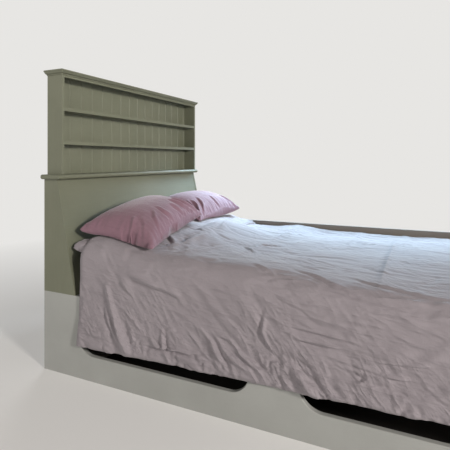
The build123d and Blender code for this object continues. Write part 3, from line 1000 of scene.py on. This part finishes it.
def surface_height(piece, spots):
    """Height of the upper side of a piece at spots measured from the corner, and 0 beside the piece."""
    heights = np.zeros((*spots.shape[:2], 1))
    for place in np.ndindex(spots.shape[:2]):
        hit, where, _, _ = piece.ray_cast(at(*spots[place], 2.0), Vector((0, 0, -1)))
        heights[place] = where.z if hit else 0.0
    return heights


def stitches(name, points, normals, material):
    """A row of thread stitches that lies on a surface, along points in order."""
    steps = np.linalg.norm(np.diff(points, axis=0), axis=1)
    travelled = np.concatenate([[0], np.cumsum(steps)])
    starts = np.arange(0.012, travelled[-1] - 0.012, STITCH_PITCH)
    spots, faces = [], []
    for start in starts:
        first = np.array([np.interp(start, travelled, way) for way in points.T])
        last = np.array([np.interp(start + STITCH_LENGTH, travelled, way) for way in points.T])
        up = np.array([np.interp(start, travelled, way) for way in normals.T])
        aside = np.cross(up, last - first)
        aside *= STITCH_RADIUS / np.linalg.norm(aside)
        middle, up = (first + last) / 2, up * STITCH_RADIUS
        base = len(spots)
        spots += [first, last, middle + aside, middle + up, middle - aside, middle - up]
        for number in range(4):
            side, following = base + 2 + number, base + 2 + (number + 1) % 4
            faces += [(base, side, following), (base + 1, following, side)]
    row = new_piece(name, spots, faces)
    row.data.materials.append(material)
    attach(row, "root")


def make_pillow(node, seed, cloth, thread, below):
    """A pillow laid on the piece below it. The upper ones bow in at their sides and show a sewn hem."""
    facts = PILLOWS[node]
    top, bottom = stuffed(seed, facts["pressure"])
    on_duvet = node.startswith("pillow_top")
    bow = UPPER_BOW if on_duvet else 0.0
    top = laid(finer(top), facts["corners"], facts["crown"], facts["fullness"], bow)
    bottom = laid(finer(bottom), facts["corners"], facts["belly"], BELLY_FULLNESS, bow)
    top[..., 2] += pleats(*top.shape[:2], seed + 40, facts["folds"])
    coarse = bottom[::2, ::2]
    lift = np.maximum(surface_height(below, coarse[..., :2]) + PILLOW_CLEARANCE - coarse[..., 2:], 0)
    bottom[..., 2:] += finer(softened(spread_out(lift), 2))
    top[..., 2] = np.maximum(top[..., 2], bottom[..., 2])
    pillow, _, _ = new_cushion(f"{node}_case", top, bottom)
    pillow.data.materials.append(cloth)
    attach(pillow, "root")
    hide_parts(node)
    if on_duvet:
        column = HEM_COLUMN[facts["open_end"]]
        normals = grid_normals(top)[:, column]
        stitches(f"{node}_hem", top[:, column] + STITCH_RADIUS / 2 * normals, normals, thread)


# Mattress: its size within the CAD node, and its profile as (in from the edge, up) along the underside
MATTRESS_INSET = 0.006
MATTRESS_CORNER = 0.055
UNDERSIDE = [(0.45, 0.0), (0.20, 0.0), (0.06, 0.0), (0.02, 0.004), (0.010, 0.008)]

# The border swells between two sewn lines, and a tape is rolled over each edge
BORDER_INSET = 0.010
BORDER_START = 0.012
BORDER_SWELLS = 3
BORDER_PUFF = 0.005
BORDER_POINTS = 25
TAPE_RADIUS = 0.006
TAPE_INSET = 0.007
TAPE_LEVEL = 0.01
TAPE_SIDES = 8
CORNER_POINTS = 9
SIDE_POINTS = 36


def rounded_loop(low, high, radius, inset):
    """Points round a rounded rectangle, against the clock from above, close together all round."""
    radius = max(radius - inset, 0.01)
    inner_low, inner_high = low[:2] + inset + radius, high[:2] - inset - radius
    middles = [inner_low, (inner_high[0], inner_low[1]), inner_high, (inner_low[0], inner_high[1])]
    points = []
    for number, middle in enumerate(middles):
        turn = np.radians(180 + 90 * number + np.linspace(0, 90, CORNER_POINTS))
        arc = np.array(middle) + radius * np.column_stack([np.cos(turn), np.sin(turn)])
        outward = np.array([math.cos(turn[-1]), math.sin(turn[-1])])
        onward = np.array(middles[(number + 1) % 4]) + radius * outward
        share = np.linspace(0, 1, SIDE_POINTS, endpoint=False)[1:, None]
        points += [arc, arc[-1] + share * (onward - arc[-1])]
    return np.concatenate(points)


def rings(name, loops, closed):
    """A piece from loops of points in order: closed into a ring, or else with a face over each end."""
    loops = np.array(loops)
    number = np.arange(loops[..., 0].size).reshape(loops.shape[:2])
    number = np.concatenate([number, number[:, :1]], axis=1)
    if closed:
        number = np.concatenate([number, number[:1]])
    faces = grid_faces(number.T)
    if not closed:
        faces += [number[0, :-1][::-1].tolist(), number[-1, :-1].tolist()]
    return new_piece(name, loops, faces)


def stacked(low, high, profile):
    """A rounded loop for each point of a profile, given as (in from the edge, height)."""
    loops = []
    for inset, height in profile:
        loop = rounded_loop(low, high, MATTRESS_CORNER, inset)
        loops.append(np.column_stack([loop, np.full(len(loop), height)]))
    return loops


def mattress_profile(rise):
    """The profile of the mattress, measured up from its underside."""
    border = []
    for share in np.linspace(0, 1, BORDER_POINTS):
        puff = BORDER_PUFF * abs(math.sin(BORDER_SWELLS * math.pi * share)) ** 0.6
        border.append((BORDER_INSET - puff, BORDER_START + share * (rise - 2 * BORDER_START)))
    top = [(inset, rise - height) for inset, height in reversed(UNDERSIDE)]
    return UNDERSIDE + border + top


def tape_profile(height):
    """A round section of tape at a height."""
    profile = []
    for turn in np.linspace(0, 2 * math.pi, TAPE_SIDES, endpoint=False):
        profile.append((TAPE_INSET - TAPE_RADIUS * math.cos(turn), height + TAPE_RADIUS * math.sin(turn)))
    return profile


def make_mattress(ticking, tape):
    """Its body and the two tapes."""
    low, high = span("mattress")
    low, high = low + MATTRESS_INSET, high - MATTRESS_INSET
    profile = [(inset, low[2] + height) for inset, height in mattress_profile(high[2] - low[2])]
    mattress = rings("mattress_body", stacked(low, high, profile), closed=False)
    pieces = [(mattress, ticking)]
    edges = {"mattress_tape_low": low[2] + TAPE_LEVEL, "mattress_tape_high": high[2] - TAPE_LEVEL}
    for name, height in edges.items():
        pieces.append((rings(name, stacked(low, high, tape_profile(height)), closed=True), tape))
    for piece, finish in pieces:
        piece.data.materials.append(finish)
        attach(piece, "root")
    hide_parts("mattress")
    return mattress


add_floor()
add_world()
add_camera()
for name, facts in LIGHTS.items():
    add_area_light(name, *facts)
dress_cad_nodes()
cloths = {name: linen(name, *facts) for name, facts in CLOTHS.items()}
grey, mauve, thread = cloths["grey_linen"], cloths["mauve_linen"], cloths["thread"]
mattress = make_mattress(cloths["ticking"], cloths["tape"])
duvet = make_duvet(grey)
make_pillow("pillow_top_near", 1, mauve, thread, duvet)
make_pillow("pillow_top_far", 2, mauve, thread, duvet)
make_pillow("pillow_lower_near", 3, grey, thread, mattress)
make_pillow("pillow_lower_far", 4, grey, thread, mattress)

bpy.context.scene.view_settings.view_transform = "Standard"
